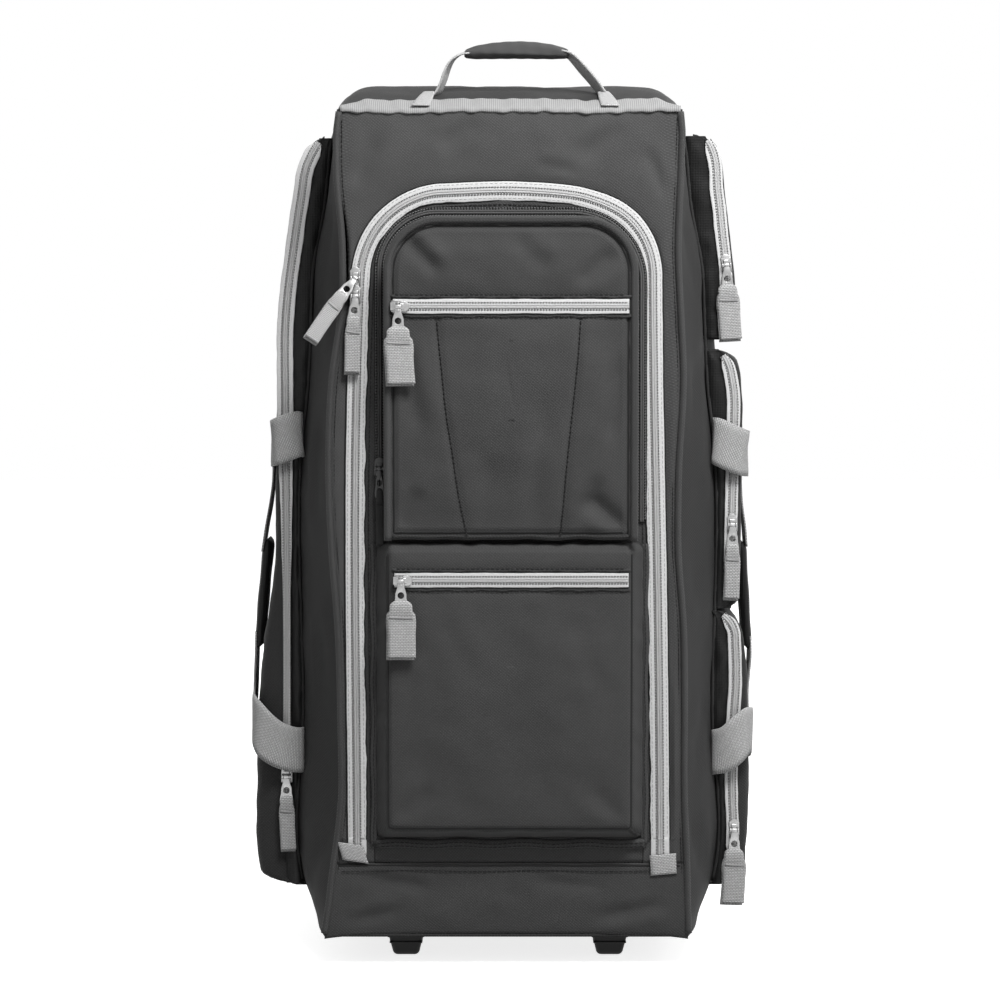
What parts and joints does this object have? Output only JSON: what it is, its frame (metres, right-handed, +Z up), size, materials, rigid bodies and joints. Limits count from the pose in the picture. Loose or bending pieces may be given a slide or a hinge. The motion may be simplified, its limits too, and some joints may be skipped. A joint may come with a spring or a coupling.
{
  "type": "rolling duffel bag",
  "caption": "Tall wheeled duffel bag with a zipped fold-down front door, outside pockets on the front and sides, webbing handles and a telescopic trolley.",
  "frame": {"origin": "on the floor, under the centre of the bag's bounding box", "axes": "+Z up, -Y the front with the door, +X the side with the pockets one above the other"},
  "size_m": [0.473, 0.3762, 0.8363],
  "materials": {
    "front_cloth": "charcoal woven polyester with a fine twill",
    "side_cloth": "dark charcoal woven polyester",
    "pocket_cloth": "charcoal woven polyester, padded",
    "piping_cloth": "woven piping over a cord",
    "light_webbing": "light grey polypropylene webbing, basket weave",
    "grey_webbing": "grey polypropylene webbing, basket weave",
    "zip_tape": "light grey woven zip tape with a nylon coil",
    "black_zip_tape": "black woven zip tape with a nylon coil",
    "slider_metal": "die-cast zinc, satin plated",
    "pull_webbing": "grey webbing tab on a die-cast puller",
    "black_pull": "black webbing tab on a black puller",
    "grip_cloth": "padded woven wrap, charcoal",
    "black_plastic": "moulded black polypropylene, fine grain",
    "board": "pressed polyethylene board",
    "tube_metal": "drawn aluminium tube, satin",
    "axle_steel": "turned steel",
    "wheel_rubber": "moulded rubber on a plastic hub",
    "button_plastic": "moulded grey plastic"
  },
  "bodies": {
    "root": {"back_panel": "side_cloth", "back_board": "board", "left_side_panel": "side_cloth", "right_side_panel": "side_cloth", "top_panel": "side_cloth", "bottom_panel": "side_cloth", "front_surround": "front_cloth", "front_bottom_band": "front_cloth", "front_piping": "piping_cloth", "main_zip_frame_half": "zip_tape", "zip_end_tabs": "grey_webbing", "top_webbing": "light_webbing", "base_board": "board", "wheel_housings": "black_plastic", "wheel_axles": "axle_steel", "front_feet": "black_plastic", "trolley_bezel": "black_plastic", "trolley_outer_tubes": "tube_metal", "trolley_bracket": "black_plastic", "left_pocket": "side_cloth", "left_pocket_zip": "zip_tape", "right_top_pocket": "side_cloth", "right_middle_pocket": "side_cloth", "right_bottom_pocket": "side_cloth", "right_pocket_zips": "zip_tape"},
    "door": {"door_panel": "front_cloth", "main_zip_door_half": "zip_tape", "upper_pocket": "pocket_cloth", "organiser_zip": "black_zip_tape", "lower_pocket": "pocket_cloth", "door_pocket_zips": "zip_tape"},
    "corner_slider": {"corner_slider": "slider_metal"},
    "leg_slider": {"leg_slider": "slider_metal"},
    "upper_pocket_slider": {"upper_pocket_slider": "slider_metal"},
    "organiser_slider": {"organiser_slider": "black_pull"},
    "lower_pocket_slider": {"lower_pocket_slider": "slider_metal"},
    "left_pocket_slider": {"left_pocket_slider": "slider_metal"},
    "right_top_slider": {"right_top_slider": "slider_metal"},
    "right_middle_slider": {"right_middle_slider": "slider_metal"},
    "right_bottom_slider": {"right_bottom_slider": "slider_metal"},
    "corner_pull": {"corner_pull": "pull_webbing"},
    "leg_pull": {"leg_pull": "pull_webbing"},
    "upper_pocket_pull": {"upper_pocket_pull": "pull_webbing"},
    "organiser_pull": {"organiser_pull": "black_pull"},
    "lower_pocket_pull": {"lower_pocket_pull": "pull_webbing"},
    "left_pocket_pull": {"left_pocket_pull": "pull_webbing"},
    "right_top_pull": {"right_top_pull": "pull_webbing"},
    "right_middle_pull": {"right_middle_pull": "pull_webbing"},
    "right_bottom_pull": {"right_bottom_pull": "pull_webbing"},
    "top_handle": {"top_handle_strap": "light_webbing", "top_handle_grip": "grip_cloth"},
    "left_handle": {"left_handle_strap": "grey_webbing", "left_handle_grip": "grip_cloth"},
    "right_handle": {"right_handle_strap": "grey_webbing", "right_handle_grip": "grip_cloth"},
    "wheel_left": {"wheel_left": "wheel_rubber"},
    "wheel_right": {"wheel_right": "wheel_rubber"},
    "trolley": {"trolley_inner_tubes": "tube_metal", "trolley_grip": "black_plastic"},
    "trolley_button": {"trolley_button": "button_plastic"}
  },
  "joints": [
    {"name": "door_fold", "type": "hinge", "parent": "root", "child": "door", "pos_m": [0, -0.15, 0.094], "axis": [1, 0, 0], "range_deg": [0, 90]},
    {"name": "leg_slider_run", "type": "slide", "parent": "door", "child": "leg_slider", "axis": [0, 0, -1], "range_m": [0, 0.48]},
    {"name": "corner_slider_run", "type": "hinge", "parent": "door", "child": "corner_slider", "pos_m": [-0.063, -0.15, 0.624], "axis": [0, 1, 0], "range_deg": [0, 90]},
    {"name": "upper_pocket_slider_run", "type": "slide", "parent": "door", "child": "upper_pocket_slider", "axis": [1, 0, 0], "range_m": [0, 0.19]},
    {"name": "organiser_slider_run", "type": "slide", "parent": "door", "child": "organiser_slider", "axis": [0, 0, 1], "range_m": [0, 0.15]},
    {"name": "lower_pocket_slider_run", "type": "slide", "parent": "door", "child": "lower_pocket_slider", "axis": [1, 0, 0], "range_m": [0, 0.19]},
    {"name": "left_pocket_slider_run", "type": "slide", "parent": "root", "child": "left_pocket_slider", "axis": [0, 0, 1], "range_m": [0, 0.425]},
    {"name": "right_top_slider_run", "type": "slide", "parent": "root", "child": "right_top_slider", "axis": [-0.1059, 0, 0.9944], "range_m": [0, 0.098]},
    {"name": "right_middle_slider_run", "type": "slide", "parent": "root", "child": "right_middle_slider", "axis": [0, 0, 1], "range_m": [0, 0.14]},
    {"name": "right_bottom_slider_run", "type": "slide", "parent": "root", "child": "right_bottom_slider", "axis": [0, 0, 1], "range_m": [0, 0.18]},
    {"name": "corner_pull_flip", "type": "hinge", "parent": "corner_slider", "child": "corner_pull", "pos_m": [-0.136, -0.158, 0.622], "axis": [-1, 0, 0], "range_deg": [0, 105]},
    {"name": "leg_pull_flip", "type": "hinge", "parent": "leg_slider", "child": "leg_pull", "pos_m": [-0.136, -0.158, 0.606], "axis": [-1, 0, 0], "range_deg": [0, 95]},
    {"name": "upper_pocket_pull_flip", "type": "hinge", "parent": "upper_pocket_slider", "child": "upper_pocket_pull", "pos_m": [-0.097, -0.186, 0.597], "axis": [-1, 0, 0], "range_deg": [0, 120]},
    {"name": "organiser_pull_flip", "type": "hinge", "parent": "organiser_slider", "child": "organiser_pull", "pos_m": [-0.1148, -0.158, 0.452], "axis": [-1, 0, 0], "range_deg": [0, 120]},
    {"name": "lower_pocket_pull_flip", "type": "hinge", "parent": "lower_pocket_slider", "child": "lower_pocket_pull", "pos_m": [-0.095, -0.186, 0.354], "axis": [-1, 0, 0], "range_deg": [0, 120]},
    {"name": "left_pocket_pull_flip", "type": "hinge", "parent": "left_pocket_slider", "child": "left_pocket_pull", "pos_m": [-0.205, -0.082, 0.161], "axis": [-1, 0, 0], "range_deg": [0, 120]},
    {"name": "right_top_pull_flip", "type": "hinge", "parent": "right_top_slider", "child": "right_top_pull", "pos_m": [0.2005, -0.082, 0.634], "axis": [-0.9944, 0, -0.1059], "range_deg": [0, 120]},
    {"name": "right_middle_pull_flip", "type": "hinge", "parent": "right_middle_slider", "child": "right_middle_pull", "pos_m": [0.207, -0.082, 0.395], "axis": [-1, 0, 0], "range_deg": [0, 120]},
    {"name": "right_bottom_pull_flip", "type": "hinge", "parent": "right_bottom_slider", "child": "right_bottom_pull", "pos_m": [0.21, -0.082, 0.111], "axis": [-1, 0, 0], "range_deg": [0, 120]},
    {"name": "top_handle_fold", "type": "hinge", "parent": "root", "child": "top_handle", "pos_m": [0.008, -0.108, 0.7887], "axis": [1, 0, 0], "range_deg": [-45, 52]},
    {"name": "left_handle_swing", "type": "hinge", "parent": "root", "child": "left_handle", "pos_m": [-0.1886, -0.0746, 0.335], "axis": [0, 0, 1], "range_deg": [0, 50]},
    {"name": "right_handle_swing", "type": "hinge", "parent": "root", "child": "right_handle", "pos_m": [0.1886, -0.0746, 0.324], "axis": [0, 0, -1], "range_deg": [0, 50]},
    {"name": "wheel_left_spin", "type": "hinge", "parent": "root", "child": "wheel_left", "pos_m": [-0.143, 0.153, 0.035], "axis": [1, 0, 0], "continuous": true},
    {"name": "wheel_right_spin", "type": "hinge", "parent": "root", "child": "wheel_right", "pos_m": [0.143, 0.153, 0.035], "axis": [1, 0, 0], "continuous": true},
    {"name": "trolley_pull_out", "type": "slide", "parent": "root", "child": "trolley", "axis": [0, 0, 1], "range_m": [0, 0.38]},
    {"name": "trolley_button_press", "type": "slide", "parent": "trolley", "child": "trolley_button", "axis": [0, 0, -1], "range_m": [0, 0.003], "stiffness_N_per_m": 400, "springref_m": -0.002}
  ]
}
